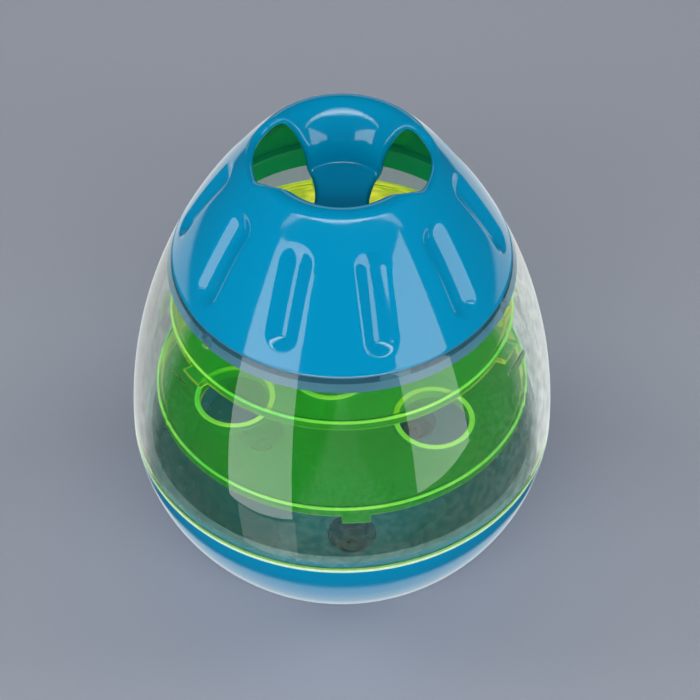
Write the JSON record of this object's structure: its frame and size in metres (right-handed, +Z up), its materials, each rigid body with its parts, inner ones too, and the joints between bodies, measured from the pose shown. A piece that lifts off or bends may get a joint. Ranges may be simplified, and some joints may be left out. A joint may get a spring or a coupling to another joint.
{
  "type": "treat dispensing wobble toy",
  "caption": "Egg-shaped wobble toy that drops treats: bayonet cap with side openings, clear shell with pierced discs, weighted round base.",
  "frame": {"origin": "centre of the flat foot that the toy stands on", "axes": "+Z up along the egg's axis, -Y towards the viewer of the picture, +X to the viewer's right"},
  "size_m": [0.13, 0.13, 0.165],
  "materials": {
    "cap_blue": "glossy moulded",
    "clear_plastic": "clear polished",
    "lime_plastic": "see-through lime",
    "base_blue": "glossy moulded",
    "dark_blue": "satin moulded",
    "screw_steel": "zinc plated",
    "iron": "cast, blackened"
  },
  "bodies": {
    "base": {"base_bowl": "base_blue", "base_floor": "dark_blue", "floor_screws": "screw_steel", "ballast_weight": "iron"},
    "shell": {"clear_shell": "clear_plastic"},
    "cap": {"top_cap": "cap_blue"},
    "upper_disc": {"upper_disc": "lime_plastic"},
    "lower_disc": {"lower_disc": "lime_plastic"}
  },
  "joints": [
    {"name": "shell_lift", "type": "slide", "parent": "base", "child": "shell", "axis": [0, 0, 1], "range_m": [0, 0.06]},
    {"name": "cap_turn", "type": "hinge", "parent": "shell", "child": "cap", "pos_m": [0, 0, 0.1253], "axis": [0, 0, 1], "range_deg": [0, 62]},
    {"name": "upper_disc_turn", "type": "hinge", "parent": "shell", "child": "upper_disc", "pos_m": [0, 0, 0.1039], "axis": [0, 0, 1], "range_deg": [0, 10]},
    {"name": "lower_disc_turn", "type": "hinge", "parent": "shell", "child": "lower_disc", "pos_m": [0, 0, 0.0729], "axis": [0, 0, 1], "range_deg": [0, 10]}
  ]
}
